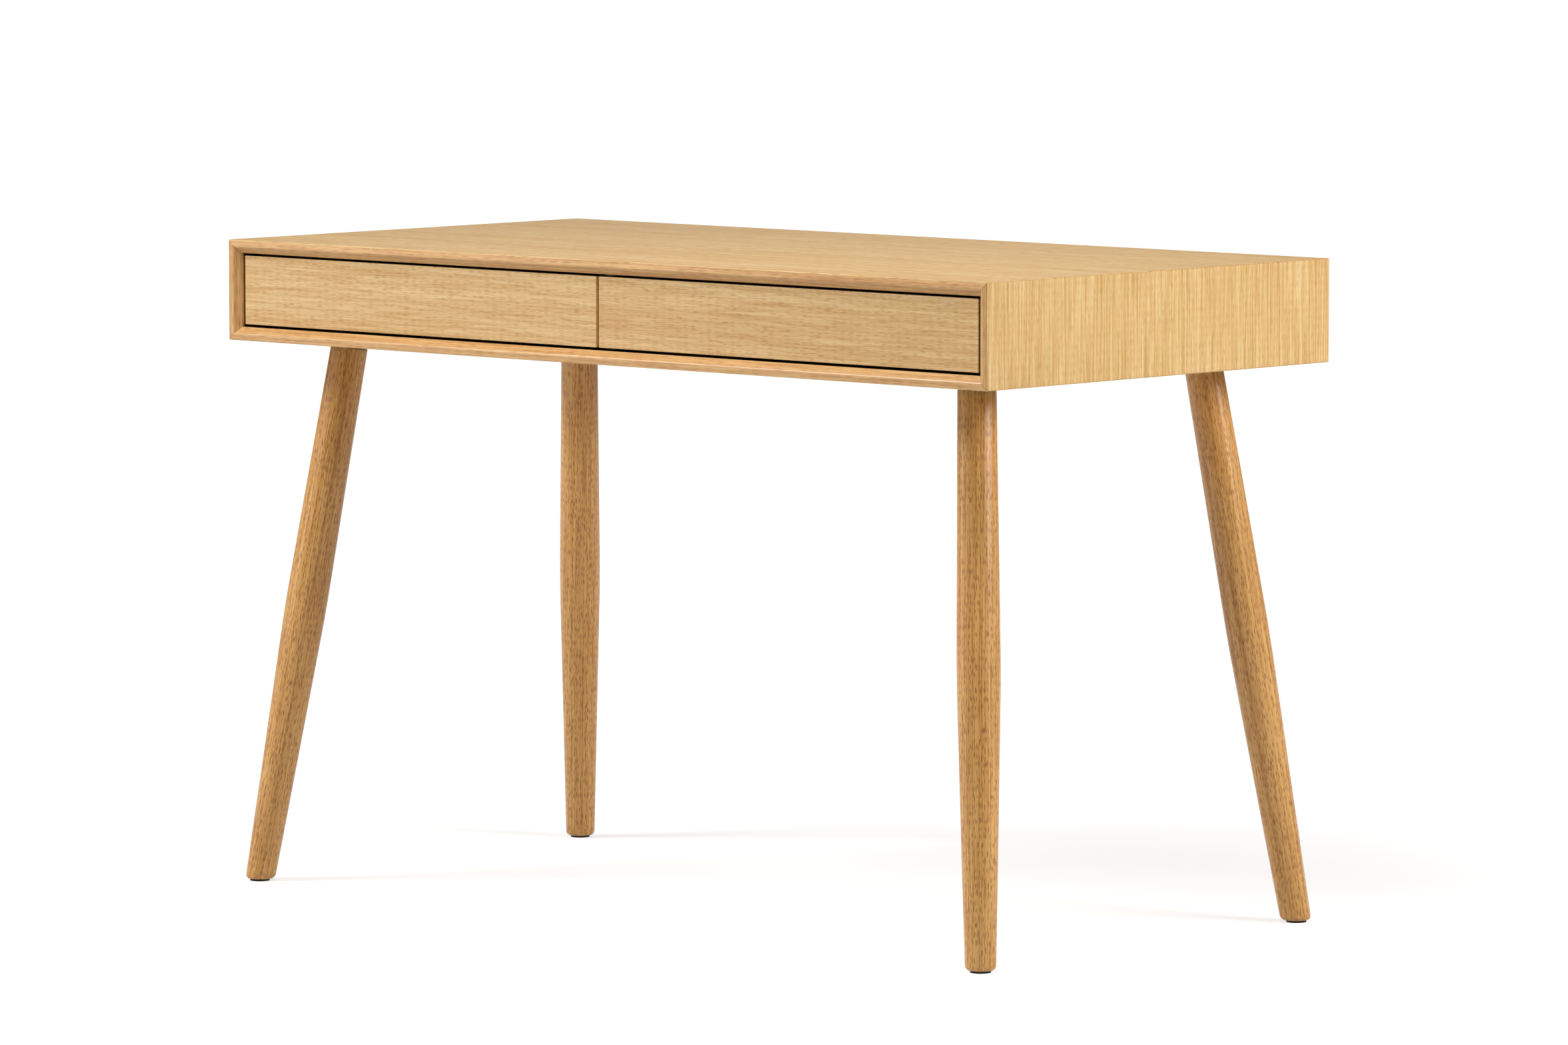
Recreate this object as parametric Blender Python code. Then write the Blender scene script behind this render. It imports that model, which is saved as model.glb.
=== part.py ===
"""Writing desk with two drawers: a mitred oak case on four splayed, turned legs.

Metres, +Z up. The origin is on the floor under the middle of the desk, +X runs along its
length and the drawers open towards -Y.
"""

import math

import bmesh
import bpy
from mathutils import Quaternion, Vector

# Case: four panels mitred into a ring, with a solid lipping round the front.
WIDTH = 1.200
DEPTH = 0.600
HEIGHT = 0.770
CASE_HEIGHT = 0.120
PANEL = 0.016
VENEER = 0.0006
LIPPING_DEPTH = 0.016
LIPPING_STRIP = 0.008
CHAMFER_DEPTH = 0.008
RIDGE_STEP = 0.001
BACK_PANEL = 0.012
BACK_INSET = 0.003
GAP = 0.0003

# Legs: turned, thickest at mid-length, leaning outwards along both axes.
LEG_TOP = Vector((0.4965, 0.1975, HEIGHT - CASE_HEIGHT))
LEG_FOOT = Vector((0.574, 0.278, 0.0))
LEG_TOP_RADIUS = 0.0220
LEG_BELLY_RADIUS = 0.0250
LEG_FOOT_RADIUS = 0.0175
LEG_BELLY_AT = 0.495
LEG_BELLY_BLEND = 0.035
LEG_DROP = 0.0085
LEG_ARRIS = 0.001
FOOT_ROUND = 0.005
PAD_RADIUS = 0.0118
PAD_THICKNESS = 0.002
PLATE_SIDE = 0.070
PLATE_THICKNESS = 0.004
PLATE_CORNER = 0.006
PLATE_HOLE_AT = 0.0265
PLATE_HOLE_RADIUS = 0.0022
BOSS_RADIUS = 0.010
BOLT_RADIUS = 0.004
BOLT_START = 0.0016
BOLT_LENGTH = 0.048

# Drawers: a front set 3 mm clear of the frame above and below, on a plain box.
FRONT_GAP = 0.003
FRONT_END_GAP = 0.0037
FRONTS_APART = 0.004
FRONT_RECESS = 0.009
FRONT_THICKNESS = 0.016
DIVIDER_SETBACK = 0.020
BOX_BOARD = 0.012
BOX_HEIGHT = 0.064
BOX_LENGTH = 0.450
BOTTOM_THICKNESS = 0.005
BOTTOM_RISE = 0.006
GROOVE_DEPTH = 0.006

# Slides: steel channels nested in a 12.7 mm width, with ball cages between them. Each
# channel is (back, open edge, half height, sheet), measured out from the wall it hangs on.
SLIDE_WIDTH = 0.0127
SLIDE_SETBACK = 0.006
SLIDE_LENGTH = 0.450
MIDDLE_LENGTH = 0.420
CAGE_SETBACK = 0.110
CAGE_LENGTH = 0.200
CASE_CHANNEL = (GAP, 0.0095, 0.0225, 0.0012)
CASE_CAGE_CHANNEL = (0.0018, 0.0090, 0.0194, 0.0005)
MIDDLE_CHANNEL = (0.0026, 0.0102, 0.0170, 0.0010)
DRAWER_CAGE_CHANNEL = (0.00405, 0.0095, 0.01465, 0.0005)
DRAWER_CHANNEL = (SLIDE_WIDTH, 0.0050, 0.0128, 0.0012)

# Push latch behind each drawer: a sprung plunger in a flanged barrel on the back panel.
LATCH_RADIUS = 0.009
LATCH_FLANGE_RADIUS = 0.016
LATCH_FLANGE_THICKNESS = 0.003
LATCH_BORE_RADIUS = 0.0043
LATCH_BORE_DEPTH = 0.050
LATCH_STAND = 0.014
PLUNGER_RADIUS = 0.004
PLUNGER_LENGTH = 0.050
TIP_RADIUS = 0.005
TIP_LENGTH = 0.006
TIP_CLEARANCE = 0.0035

ROUND_STEPS = 32
SMALL_STEPS = 20
HOLE_STEPS = 12
BELLY_STEPS = 6
CORNER_STEPS = 4
FOOT_STEPS = 4

# Places worked out from the dimensions above.
BASE = HEIGHT - CASE_HEIGHT
BAY_LOW = BASE + PANEL
BAY_HIGH = HEIGHT - PANEL
BAY_MIDDLE = (BAY_LOW + BAY_HIGH) / 2
BAY_OUTER = WIDTH / 2 - PANEL
BAY_INNER = PANEL / 2
RIDGE_Y = -DEPTH / 2
FRONT_Y = RIDGE_Y + FRONT_RECESS
FRONT_BACK_Y = FRONT_Y + FRONT_THICKNESS
BOX_BACK_Y = FRONT_BACK_Y + BOX_LENGTH
SLIDE_Y = FRONT_BACK_Y + SLIDE_SETBACK
BACK_FACE_Y = DEPTH / 2 - BACK_INSET - BACK_PANEL
BOX_LOW = BAY_MIDDLE - BOX_HEIGHT / 2
BOX_HIGH = BAY_MIDDLE + BOX_HEIGHT / 2
BOTTOM_LOW = BOX_LOW + BOTTOM_RISE
BOTTOM_HIGH = BOTTOM_LOW + BOTTOM_THICKNESS
BOX_INNER = BAY_INNER + SLIDE_WIDTH + GAP
BOX_OUTER = BAY_OUTER - SLIDE_WIDTH - GAP
BOX_CENTRE = (BOX_INNER + BOX_OUTER) / 2

# Finishes: colour, roughness, metallic.
OAK_VENEER = ((0.70, 0.49, 0.26), 0.45, 0.0)
OAK_SOLID = ((0.64, 0.42, 0.20), 0.45, 0.0)
OAK_TURNED = ((0.42, 0.24, 0.10), 0.45, 0.0)
OAK_INSIDE = ((0.66, 0.50, 0.31), 0.60, 0.0)
ZINC = ((0.55, 0.56, 0.58), 0.35, 1.0)
CAGE_STEEL = ((0.45, 0.46, 0.48), 0.40, 1.0)
PLATE_STEEL = ((0.10, 0.11, 0.13), 0.40, 0.9)
LATCH_PLASTIC = ((0.16, 0.16, 0.17), 0.50, 0.0)
TIP_PLASTIC = ((0.08, 0.08, 0.08), 0.60, 0.0)
FELT = ((0.07, 0.06, 0.06), 0.95, 0.0)


def clear_scene():
    for obj in list(bpy.data.objects):
        bpy.data.objects.remove(obj, do_unlink=True)


def make_material(name, finish):
    colour, roughness, metallic = finish
    material = bpy.data.materials.new(name)
    material.use_nodes = True
    shader = material.node_tree.nodes["Principled BSDF"]
    shader.inputs["Base Color"].default_value = (*colour, 1.0)
    shader.inputs["Roughness"].default_value = roughness
    shader.inputs["Metallic"].default_value = metallic
    return material


def add_object(name, bm, finish, place, parent=None, turn=None, smooth=False):
    """Makes a named object of a bmesh built round its own origin, at a world place."""
    bmesh.ops.recalc_face_normals(bm, faces=bm.faces)
    mesh = bpy.data.meshes.new(name)
    bm.to_mesh(mesh)
    bm.free()
    if smooth:
        mesh.shade_smooth()
        mesh.set_sharp_from_angle(angle=math.radians(35))
    mesh.materials.append(make_material(name, finish))
    obj = bpy.data.objects.new(name, mesh)
    bpy.context.collection.objects.link(obj)
    obj.location = Vector(place)
    if parent is not None:
        obj.parent = parent
        obj.location = Vector(place) - parent.location
    if turn is not None:
        obj.rotation_mode = "QUATERNION"
        obj.rotation_quaternion = turn
    return obj


def add_joint_empty(name, place):
    empty = bpy.data.objects.new(name, None)
    empty.location = place
    bpy.context.collection.objects.link(empty)
    return empty


def use_as_tool(obj, tool, operation):
    """Adds a Boolean to obj, and keeps its operand out of the build."""
    tool.hide_render = True
    tool.display_type = "WIRE"
    modifier = obj.modifiers.new(operation.lower(), "BOOLEAN")
    modifier.operation = operation
    modifier.object = tool


def board(name, corner, opposite, finish, parent=None):
    """A rectangular board between two world corners, with its origin at its middle."""
    low = Vector(min(pair) for pair in zip(corner, opposite))
    high = Vector(max(pair) for pair in zip(corner, opposite))
    bm = bmesh.new()
    bmesh.ops.create_cube(bm, size=1.0)
    bmesh.ops.scale(bm, vec=high - low, verts=bm.verts)
    return add_object(name, bm, finish, (low + high) / 2, parent)


def extruded(points, run):
    """A closed flat outline extruded along run."""
    bm = bmesh.new()
    face = bm.faces.new([bm.verts.new(point) for point in points])
    grown = bmesh.ops.extrude_face_region(bm, geom=[face])
    moved = [item for item in grown["geom"] if isinstance(item, bmesh.types.BMVert)]
    bmesh.ops.translate(bm, vec=run, verts=moved)
    return bm


def turned(profile, steps):
    """A profile of (radius, height) pairs, from axis to axis, spun round Z."""
    bm = bmesh.new()
    verts = [bm.verts.new((radius, 0.0, height)) for radius, height in profile]
    edges = [bm.edges.new(pair) for pair in zip(verts, verts[1:])]
    bmesh.ops.spin(
        bm, geom=verts + edges, axis=(0, 0, 1), cent=(0, 0, 0), angle=math.tau, steps=steps, use_merge=True
    )
    bmesh.ops.remove_doubles(bm, verts=bm.verts, dist=1e-6)
    return bm


def cut_away(bm, point, normal):
    """Removes what lies beyond a plane, caps the cut and returns the cap's edges."""
    geom = bm.verts[:] + bm.edges[:] + bm.faces[:]
    cut = bmesh.ops.bisect_plane(
        bm, geom=geom, plane_co=point, plane_no=normal, clear_outer=True, dist=1e-7
    )
    rim = [item for item in cut["geom_cut"] if isinstance(item, bmesh.types.BMEdge)]
    bmesh.ops.holes_fill(bm, edges=rim, sides=0)
    return rim


def wall_member(name, outward, outline, finish):
    """Extrudes (y, depth below the outer face) pairs along one wall, mitred at both ends."""
    level = abs(outward.z) > abs(outward.x)
    along = Vector((1, 0, 0)) if level else Vector((0, 0, 1))
    half_run = WIDTH / 2 if level else CASE_HEIGHT / 2
    reach = CASE_HEIGHT / 2 if level else WIDTH / 2
    start = -along * half_run
    points = [Vector((0, y, 0)) + outward * (reach - depth) + start for y, depth in outline]
    bm = extruded(points, along * 2 * half_run)
    for end in (-1, 1):
        corner = outward * reach + along * end * (half_run - GAP / 2)
        cut_away(bm, corner, along * end - outward)
    return add_object(name, bm, finish, (0, 0, BASE + CASE_HEIGHT / 2))


def build_case():
    strip_y = RIDGE_Y + RIDGE_STEP
    lipping_back = RIDGE_Y + LIPPING_DEPTH
    core_front = lipping_back + GAP
    panel_outline = [
        (strip_y, 0.0),
        (strip_y, VENEER),
        (core_front, VENEER),
        (core_front, PANEL),
        (DEPTH / 2, PANEL),
        (DEPTH / 2, 0.0),
    ]
    lipping_outline = [
        (strip_y, VENEER + GAP),
        (RIDGE_Y, LIPPING_STRIP),
        (RIDGE_Y + CHAMFER_DEPTH, PANEL),
        (lipping_back, PANEL),
        (lipping_back, VENEER + GAP),
    ]
    walls = {
        "top": Vector((0, 0, 1)),
        "bottom": Vector((0, 0, -1)),
        "left": Vector((-1, 0, 0)),
        "right": Vector((1, 0, 0)),
    }
    for wall, outward in walls.items():
        wall_member(f"case_{wall}_panel", outward, panel_outline, OAK_VENEER)
        wall_member(f"front_lipping_{wall}", outward, lipping_outline, OAK_SOLID)
    board(
        "case_back_panel",
        (-BAY_OUTER + GAP, BACK_FACE_Y, BAY_LOW + GAP),
        (BAY_OUTER - GAP, BACK_FACE_Y + BACK_PANEL, BAY_HIGH - GAP),
        OAK_VENEER,
    )
    board(
        "centre_divider",
        (-BAY_INNER, FRONT_Y + DIVIDER_SETBACK, BAY_LOW + GAP),
        (BAY_INNER, BACK_FACE_Y - GAP, BAY_HIGH - GAP),
        OAK_INSIDE,
    )


def leg_profile(length, drop):
    """Half the leg's section, down the outside: blind bore, two tapers, softened belly."""
    belly = LEG_BELLY_AT * length

    def straight_radius(s):
        if s < belly:
            return LEG_TOP_RADIUS + (LEG_BELLY_RADIUS - LEG_TOP_RADIUS) * s / belly
        return LEG_BELLY_RADIUS + (LEG_FOOT_RADIUS - LEG_BELLY_RADIUS) * (s - belly) / (length - belly)

    bore_radius = BOLT_RADIUS + GAP
    bore_end = BOLT_START + BOLT_LENGTH + GAP
    top_radius = straight_radius(drop)
    profile = [
        (0.0, -bore_end),
        (bore_radius, -bore_end),
        (bore_radius, -drop),
        (top_radius - LEG_ARRIS, -drop),
        (top_radius, -drop - LEG_ARRIS),
    ]
    before = straight_radius(belly - LEG_BELLY_BLEND)
    after = straight_radius(belly + LEG_BELLY_BLEND)
    for step in range(BELLY_STEPS + 1):
        t = step / BELLY_STEPS
        radius = (1 - t) ** 2 * before + 2 * t * (1 - t) * LEG_BELLY_RADIUS + t ** 2 * after
        profile.append((radius, -belly - LEG_BELLY_BLEND * (2 * t - 1)))
    below_floor = length + LEG_FOOT_RADIUS
    profile.append((straight_radius(below_floor), -below_floor))
    profile.append((0.0, -below_floor))
    return profile


def rounded_square(side, corner, height):
    """Points of a square with round corners, at a height."""
    points = []
    for quarter, (sx, sy) in enumerate([(1, 1), (-1, 1), (-1, -1), (1, -1)]):
        for step in range(CORNER_STEPS + 1):
            angle = math.pi / 2 * (quarter + step / CORNER_STEPS)
            x = sx * (side / 2 - corner) + corner * math.cos(angle)
            y = sy * (side / 2 - corner) + corner * math.sin(angle)
            points.append(Vector((x, y, height)))
    return points


def build_leg(corner, sx, sy):
    """A leg with its plate, hanger bolt and pad. The leg's origin is where its axis meets the case."""
    top = Vector((sx * LEG_TOP.x, sy * LEG_TOP.y, LEG_TOP.z))
    foot = Vector((sx * LEG_FOOT.x, sy * LEG_FOOT.y, LEG_FOOT.z))
    turn = Vector((0, 0, -1)).rotation_difference(foot - top)
    length = (foot - top).length
    lean = length / LEG_TOP.z
    drop = LEG_DROP * lean

    leg = turned(leg_profile(length, drop), ROUND_STEPS)
    down = turn.inverted() @ Vector((0, 0, -1))
    sole = Vector((0, 0, -(LEG_TOP.z - PAD_THICKNESS - GAP) * lean))
    rim = cut_away(leg, sole, down)
    bmesh.ops.bevel(
        leg,
        geom=rim,
        offset=FOOT_ROUND,
        segments=FOOT_STEPS,
        profile=0.5,
        affect="EDGES",
        material=-1,
        clamp_overlap=True,
    )
    add_object(f"leg_{corner}", leg, OAK_TURNED, top, turn=turn, smooth=True)

    bolt_end = BOLT_START + BOLT_LENGTH
    bolt = [(0.0, -bolt_end), (BOLT_RADIUS, -bolt_end), (BOLT_RADIUS, -BOLT_START), (0.0, -BOLT_START)]
    add_object(f"leg_bolt_{corner}", turned(bolt, SMALL_STEPS), ZINC, top, turn=turn, smooth=True)

    pad = [(0.0, 0.0), (PAD_RADIUS, 0.0), (PAD_RADIUS, PAD_THICKNESS), (0.0, PAD_THICKNESS)]
    add_object(f"foot_pad_{corner}", turned(pad, ROUND_STEPS), FELT, foot, smooth=True)

    plate_top = -GAP
    flange = extruded(rounded_square(PLATE_SIDE, PLATE_CORNER, plate_top), Vector((0, 0, -PLATE_THICKNESS)))
    plate = add_object(f"leg_plate_{corner}", flange, PLATE_STEEL, top)
    boss_start = PLATE_THICKNESS / 2
    boss_end = drop - GAP
    boss = [(0.0, -boss_end), (BOSS_RADIUS, -boss_end), (BOSS_RADIUS, -boss_start), (0.0, -boss_start)]
    boss_tool = add_object(f"boss_{corner}", turned(boss, ROUND_STEPS), PLATE_STEEL, top, turn=turn)
    use_as_tool(plate, boss_tool, "UNION")
    bore_radius = BOLT_RADIUS + GAP
    through = 2 * boss_end
    bore = [(0.0, -through), (bore_radius, -through), (bore_radius, through), (0.0, through)]
    bore_tool = add_object(f"bore_{corner}", turned(bore, SMALL_STEPS), PLATE_STEEL, top, turn=turn)
    use_as_tool(plate, bore_tool, "DIFFERENCE")
    for hole_x in (-PLATE_HOLE_AT, PLATE_HOLE_AT):
        for hole_y in (-PLATE_HOLE_AT, PLATE_HOLE_AT):
            hole = bmesh.new()
            bmesh.ops.create_cone(
                hole,
                cap_ends=True,
                segments=HOLE_STEPS,
                radius1=PLATE_HOLE_RADIUS,
                radius2=PLATE_HOLE_RADIUS,
                depth=2 * through,
            )
            place = top + Vector((hole_x, hole_y, 0))
            hole_tool = add_object(f"hole_{corner}_{hole_x}_{hole_y}", hole, PLATE_STEEL, place)
            use_as_tool(plate, hole_tool, "DIFFERENCE")


def build_drawer(side, sx, slide):
    """Front, two grooved sides, back and bottom, all carried by the drawer's slide empty."""
    front = board(
        f"drawer_{side}_front",
        (sx * FRONTS_APART / 2, FRONT_Y, BAY_LOW + FRONT_GAP),
        (sx * (BAY_OUTER - FRONT_END_GAP), FRONT_BACK_Y, BAY_HIGH - FRONT_GAP),
        OAK_VENEER,
        slide,
    )
    groove_inner = BOX_INNER + BOX_BOARD - GROOVE_DEPTH
    groove_outer = BOX_OUTER - BOX_BOARD + GROOVE_DEPTH
    groove_tool = board(
        f"front_groove_{side}",
        (sx * (groove_inner - GAP), FRONT_BACK_Y - GROOVE_DEPTH - GAP, BOTTOM_LOW - GAP),
        (sx * (groove_outer + GAP), FRONT_BACK_Y + GROOVE_DEPTH, BOTTOM_HIGH + GAP),
        OAK_INSIDE,
        slide,
    )
    use_as_tool(front, groove_tool, "DIFFERENCE")
    groove_wall = BOX_BOARD - GROOVE_DEPTH - GAP
    side_outline = [
        (0.0, BOX_LOW),
        (BOX_BOARD, BOX_LOW),
        (BOX_BOARD, BOTTOM_LOW - GAP),
        (groove_wall, BOTTOM_LOW - GAP),
        (groove_wall, BOTTOM_HIGH + GAP),
        (BOX_BOARD, BOTTOM_HIGH + GAP),
        (BOX_BOARD, BOX_HIGH),
        (0.0, BOX_HIGH),
    ]
    run = Vector((0, BOX_LENGTH - GAP, 0))
    for name, outer_face, inward in (("outer", BOX_OUTER, -1), ("inner", BOX_INNER, 1)):
        place = Vector((sx * outer_face, FRONT_BACK_Y + GAP, 0))
        points = [Vector((sx * inward * depth, 0, height)) for depth, height in side_outline]
        add_object(f"drawer_{side}_{name}_side", extruded(points, run), OAK_INSIDE, place, slide)
    board(
        f"drawer_{side}_back",
        (sx * (BOX_INNER + BOX_BOARD + GAP), BOX_BACK_Y - BOX_BOARD, BOTTOM_HIGH + GAP),
        (sx * (BOX_OUTER - BOX_BOARD - GAP), BOX_BACK_Y, BOX_HIGH),
        OAK_INSIDE,
        slide,
    )
    board(
        f"drawer_{side}_bottom",
        (sx * groove_inner, FRONT_BACK_Y - GROOVE_DEPTH, BOTTOM_LOW),
        (sx * groove_outer, BOX_BACK_Y, BOTTOM_HIGH),
        OAK_INSIDE,
        slide,
    )


def channel_points(channel, wall_x, facing):
    """A C section open away from its back, hung on a wall and facing the drawer."""
    back, lip, half_height, sheet = channel
    web = back + math.copysign(sheet, lip - back)
    outline = [
        (back, -half_height),
        (lip, -half_height),
        (lip, sheet - half_height),
        (web, sheet - half_height),
        (web, half_height - sheet),
        (lip, half_height - sheet),
        (lip, half_height),
        (back, half_height),
    ]
    return [Vector((wall_x + facing * out, 0, BAY_MIDDLE + up)) for out, up in outline]


def build_slides(side, sx, carriers):
    """The two slides of a drawer, one on the case's side and one on the divider."""
    members = {
        "case_member": (CASE_CHANNEL, SLIDE_Y, SLIDE_LENGTH, ZINC),
        "case_cage": (CASE_CAGE_CHANNEL, SLIDE_Y + CAGE_SETBACK, CAGE_LENGTH, CAGE_STEEL),
        "middle_member": (MIDDLE_CHANNEL, SLIDE_Y, MIDDLE_LENGTH, ZINC),
        "drawer_cage": (DRAWER_CAGE_CHANNEL, SLIDE_Y + CAGE_SETBACK, CAGE_LENGTH, CAGE_STEEL),
        "drawer_member": (DRAWER_CHANNEL, SLIDE_Y, SLIDE_LENGTH, ZINC),
    }
    walls = {"outer": (sx * BAY_OUTER, -sx), "inner": (sx * BAY_INNER, sx)}
    for position, (wall_x, facing) in walls.items():
        for member, (channel, start, length, finish) in members.items():
            points = channel_points(channel, 0.0, facing)
            bm = extruded(points, Vector((0, length, 0)))
            name = f"slide_{side}_{position}_{member}"
            add_object(name, bm, finish, (wall_x, start, 0), carriers.get(member))


def build_latch(side, sx):
    """A flanged barrel on the back panel and its plunger, both turned along Y."""
    facing_front = Quaternion((1, 0, 0), math.pi / 2)
    flange_y = BACK_FACE_Y - GAP
    barrel_y = BOX_BACK_Y + LATCH_STAND
    reach = flange_y - barrel_y
    barrel = [
        (0.0, reach - LATCH_BORE_DEPTH),
        (LATCH_BORE_RADIUS, reach - LATCH_BORE_DEPTH),
        (LATCH_BORE_RADIUS, reach),
        (LATCH_RADIUS, reach),
        (LATCH_RADIUS, LATCH_FLANGE_THICKNESS),
        (LATCH_FLANGE_RADIUS, LATCH_FLANGE_THICKNESS),
        (LATCH_FLANGE_RADIUS, 0.0),
        (0.0, 0.0),
    ]
    place = (sx * BOX_CENTRE, flange_y, BAY_MIDDLE)
    bm = turned(barrel, SMALL_STEPS)
    add_object(f"push_latch_{side}_barrel", bm, LATCH_PLASTIC, place, turn=facing_front, smooth=True)
    plunger = [
        (0.0, -TIP_LENGTH - PLUNGER_LENGTH),
        (PLUNGER_RADIUS, -TIP_LENGTH - PLUNGER_LENGTH),
        (PLUNGER_RADIUS, -TIP_LENGTH),
        (TIP_RADIUS, -TIP_LENGTH),
        (TIP_RADIUS, 0.0),
        (0.0, 0.0),
    ]
    place = (sx * BOX_CENTRE, BOX_BACK_Y + TIP_CLEARANCE, BAY_MIDDLE)
    bm = turned(plunger, SMALL_STEPS)
    add_object(f"push_latch_{side}_plunger", bm, TIP_PLASTIC, place, turn=facing_front, smooth=True)


def build_desk():
    clear_scene()
    build_case()
    for row, sy in (("front", -1), ("rear", 1)):
        for hand, sx in (("left", -1), ("right", 1)):
            build_leg(f"{row}_{hand}", sx, sy)
    for side, sx in (("left", -1), ("right", 1)):
        place = (sx * BOX_CENTRE, FRONT_Y, BAY_MIDDLE)
        carriers = {
            "case_cage": add_joint_empty(f"case_cages_{side}_slide", place),
            "middle_member": add_joint_empty(f"middle_members_{side}_slide", place),
            "drawer_cage": add_joint_empty(f"drawer_cages_{side}_slide", place),
            "drawer_member": add_joint_empty(f"drawer_{side}_slide", place),
        }
        build_drawer(side, sx, carriers["drawer_member"])
        build_slides(side, sx, carriers)
        build_latch(side, sx)


build_desk()
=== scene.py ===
import math

import bmesh
import bpy
from mathutils import Matrix, Vector


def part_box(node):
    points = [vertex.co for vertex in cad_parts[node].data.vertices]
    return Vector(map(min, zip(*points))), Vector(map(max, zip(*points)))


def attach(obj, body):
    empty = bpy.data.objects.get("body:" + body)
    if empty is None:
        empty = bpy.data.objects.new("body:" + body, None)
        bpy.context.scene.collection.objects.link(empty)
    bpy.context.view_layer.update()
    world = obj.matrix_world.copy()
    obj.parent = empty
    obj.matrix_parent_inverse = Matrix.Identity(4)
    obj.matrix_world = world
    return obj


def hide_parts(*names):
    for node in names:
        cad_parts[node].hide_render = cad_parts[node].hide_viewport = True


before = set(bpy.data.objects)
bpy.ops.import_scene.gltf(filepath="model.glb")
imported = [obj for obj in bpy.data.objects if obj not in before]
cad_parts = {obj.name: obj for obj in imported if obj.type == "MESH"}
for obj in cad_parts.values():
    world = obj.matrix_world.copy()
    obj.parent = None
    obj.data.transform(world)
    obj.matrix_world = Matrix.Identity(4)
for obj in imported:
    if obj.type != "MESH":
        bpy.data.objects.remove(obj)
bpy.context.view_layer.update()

# ---------------------------------------------------------------------------------------
# Case boards. Four boards of chipboard core faced with sawn oak veneer, 16 mm thick, glued
# into a ring with 45 degree mitres. The face veneer runs forward over the solid lipping, so
# only its 1 mm edge shows at the front. The grain runs along the top and up the sides.
# ---------------------------------------------------------------------------------------


def colour(red, green, blue):
    """A display colour, 0 to 255, as the linear values that a shader takes."""
    channels = [value / 255 for value in (red, green, blue)]
    linear = [c / 12.92 if c <= 0.04045 else ((c + 0.055) / 1.055) ** 2.4 for c in channels]
    return (*linear, 1.0)


def add_node(tree, kind, inputs, **settings):
    """Adds a node. An input takes a value, or a link where it is given another's output."""
    node = tree.nodes.new("ShaderNode" + kind)
    for name, value in settings.items():
        setattr(node, name, value)
    for key, value in inputs.items():
        if isinstance(value, bpy.types.NodeSocket):
            tree.links.new(value, node.inputs[key])
        else:
            node.inputs[key].default_value = value
    return node


def maths(tree, operation, *values):
    return add_node(tree, "Math", dict(enumerate(values)), operation=operation).outputs[0]


def stretched(tree, vector, scale):
    """The vector times a scale per axis: a high scale makes the pattern finer that way."""
    return add_node(tree, "VectorMath", {0: vector, 1: scale}, operation="MULTIPLY").outputs[0]


def noise(tree, vector, scale, detail=2.0):
    inputs = {"Vector": stretched(tree, vector, scale), "Scale": 1.0, "Detail": detail}
    return add_node(tree, "TexNoise", inputs).outputs["Fac"]


def ramp(tree, value, low, high, at_low=0.0, at_high=1.0):
    """A smooth step of a value, from at_low below low to at_high above high."""
    inputs = {"Value": value, "From Min": low, "From Max": high, "To Min": at_low, "To Max": at_high}
    return add_node(tree, "MapRange", inputs, interpolation_type="SMOOTHSTEP").outputs["Result"]


def swing(tree, value, amount):
    """A 0 to 1 noise made to swing by an amount either side of zero."""
    return maths(tree, "MULTIPLY", maths(tree, "SUBTRACT", value, 0.5), amount)


def mixed(tree, factor, first, second):
    inputs = {0: factor, 6: first, 7: second}
    return add_node(tree, "Mix", inputs, data_type="RGBA").outputs[2]


def new_group(name, inputs):
    """A shader group that turns a place into a colour, a roughness and a height."""
    tree = bpy.data.node_groups.new(name, "ShaderNodeTree")
    for label, kind, value in [("Vector", "Vector", None), *inputs]:
        socket = tree.interface.new_socket(label, in_out="INPUT", socket_type="NodeSocket" + kind)
        if value is not None:
            socket.default_value = value
    for label, kind in (("Color", "Color"), ("Roughness", "Float"), ("Height", "Float")):
        tree.interface.new_socket(label, in_out="OUTPUT", socket_type="NodeSocket" + kind)
    return tree, tree.nodes.new("NodeGroupInput").outputs, tree.nodes.new("NodeGroupOutput").inputs


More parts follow.
